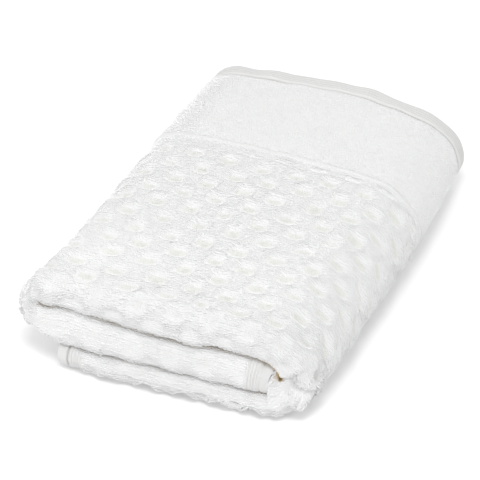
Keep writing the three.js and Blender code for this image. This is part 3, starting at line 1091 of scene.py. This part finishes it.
cotton = {
    "pile": (0.93, 0.93, 0.932, 1),
    "pileShade": (0.895, 0.895, 0.897, 1),
    # painted light: the plain panel's pile is painted a little lighter to make up for less light falling
    # there
    "plainPilePaintedLight": (0.935, 0.935, 0.937, 1),
    # painted light: the pile on the cells' far walls gets a white of its own, set for how light falls there
    "farWallLightPile": (0.905, 0.905, 0.907, 1),
    "floor": (0.85, 0.853, 0.826, 1),  # sunk cells show the creamier ground cloth
    "floorFrom": 0.5,
    "line": (0.82, 0.82, 0.82, 1),
    "hem": (0.85, 0.848, 0.843, 1),
    "hemShade": (0.66, 0.657, 0.65, 1),
    # painted shade along the stitch grooves
    "stitchShade": (0.5, 0.49, 0.47, 1),
    "deep": (0.52, 0.35, 0.13, 1),  # painted shade: the shut gaps between the layers are painted darker and warmer
    "thread": (0.80, 0.79, 0.76, 1),
    "roughness": 0.95,
    "ribs": 0.9,  # threads to the millimetre
    "selvedgeRibs": 0.5, "hemRibs": 0.3, "endHemShade": 0.42,
    "ribShade": 0.12, "rowShade": 0.25, "seamShade": 0.35,
    "ribHeight": 0.0003, "fibreHeight": 0.0002,
}


def clothFinish():
    finish = Finish("cotton_cloth")
    place = finish.attribute("flat", "Vector")
    slow, fine = finish.noise(place, 28.0), finish.noise(place, 900.0, 3.0, 0.6)
    ground = finish.blend(slow, cotton["pileShade"], cotton["pile"])
    ground = finish.blend(finish.sunkShare(), ground, cotton["floor"])
    ground = finish.paint(ground, {"line": "line"})
    endHem = finish.attribute("endHem")
    warp, weft = (finish.threads(place, axis, cotton["ribs"]) for axis in ("X", "Y"))
    ribs = finish.threads(place, "X", cotton["selvedgeRibs"]) * finish.attribute("selvedge")
    rows = finish.threads(place, "Y", cotton["hemRibs"]) * endHem
    shade = cotton["endHemShade"] * endHem - cotton["ribShade"] * ribs - cotton["rowShade"] * rows
    hem = finish.blend(shade, cotton["hem"], cotton["hemShade"])
    colour = finish.blend(finish.attribute("hem"), ground, hem)
    # painted shade along the stitch grooves and in the shut gaps
    colour = finish.paint(colour, {"stitchShade": "stitchShade", "deep": "deep"})
    threads = 0.5 * warp + 0.8 * weft + 0.9 * fine + 1.2 * ribs + 1.6 * rows
    bump = finish.bump(0.8, cotton["ribHeight"], threads)
    finish.set(Base_Color=colour, Roughness=cotton["roughness"], Normal=bump)
    return finish.material


def pileFinish():
    finish = Finish("cotton_pile")
    place = finish.node("ShaderNodeTexCoord", output="Object")
    slow, fibres = finish.noise(place, 30.0), finish.noise(place, 2600.0, 2.0, 0.6)
    shade = 0.55 * finish.attribute("shade") + 0.45 * slow
    colour = finish.blend(shade, cotton["pileShade"], cotton["pile"])
    # painted light on the plain panel's pile and on the cells' far walls
    colour = finish.paint(colour, {"plain": "plainPilePaintedLight", "farWallLight": "farWallLightPile"})
    # painted shade on the pile just past the end hems' stitches
    colour = finish.blend(cotton["seamShade"] * finish.attribute("stitchShade"), colour, cotton["hemShade"])
    colour = finish.blend(finish.sunkShare(), colour, cotton["floor"])
    # painted shade in the shut gaps between the layers
    colour = finish.paint(colour, {"deep": "deep"})
    bump = finish.bump(0.5, cotton["fibreHeight"], fibres)
    finish.set(Base_Color=colour, Roughness=cotton["roughness"], Normal=bump)
    return finish.material


def threadFinish():
    finish = Finish("cotton_thread")
    finish.set(Base_Color=cotton["thread"], Roughness=cotton["roughness"])
    return finish.material


clothMaterial, pileMaterial = clothFinish(), pileFinish()
towelSheet.data.materials.append(clothMaterial)
stitches.data.materials.append(threadFinish())
for piece in pilePieces:
    piece.data.materials.append(pileMaterial)
print("finishes made")


# floor and light
studio = {
    "floor": 6.0,  # metres across
    "floorDrop": 0.0002,
    "floorColour": (0.78, 0.78, 0.78, 1),
    "floorGlow": 0.18,
    "white": (1, 1, 1, 1),
    "sky": (1.01, 0.8),  # on the left and on the right
    "keyPower": 12, "keySize": 0.5,
    "keyPlace": (0.25, -0.66, 1.6),
}


def makeFloor():
    half = studio["floor"] / 2
    mesh = bpy.data.meshes.new("floor")
    edge = [(-half, -half, 0), (half, -half, 0), (half, half, 0), (-half, half, 0)]
    mesh.from_pydata(edge, [], [(0, 1, 2, 3)])
    floor = addObject("floor", mesh)
    floor.location.z = -studio["floorDrop"]
    paper = Finish("white_paper")
    paper.set(Base_Color=studio["floorColour"], Roughness=1.0, Emission_Color=studio["white"],
              Emission_Strength=studio["floorGlow"])
    mesh.materials.append(paper.material)


def makeLight():
    world = bpy.data.worlds.new("studio")
    world.use_nodes = True
    sky = Nodes(world.node_tree)
    background = world.node_tree.nodes["Background"]
    direction = sky.node("ShaderNodeTexCoord")
    rightShare = sky.node("ShaderNodeSeparateXYZ", inputs={"Vector": direction}) * 0.5 + 0.5
    left, right = studio["sky"]
    sky.feed(background.inputs["Strength"], left + (right - left) * rightShare)
    sky.feed(background.inputs["Color"], studio["white"])
    bpy.context.scene.world = world
    lamp = bpy.data.lights.new("key", "AREA")
    lamp.energy, lamp.size = studio["keyPower"], studio["keySize"]
    key = addObject("key", lamp)
    aim(key, Vector(studio["keyPlace"]), -Vector(studio["keyPlace"]))


makeFloor()
makeLight()
bpy.context.scene.view_settings.view_transform = "Standard"
print("studio made")


# what each piece stands for
for piece in [towelSheet, stitches, *pilePieces]:
    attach(piece, "root")
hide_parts("towel_cloth")
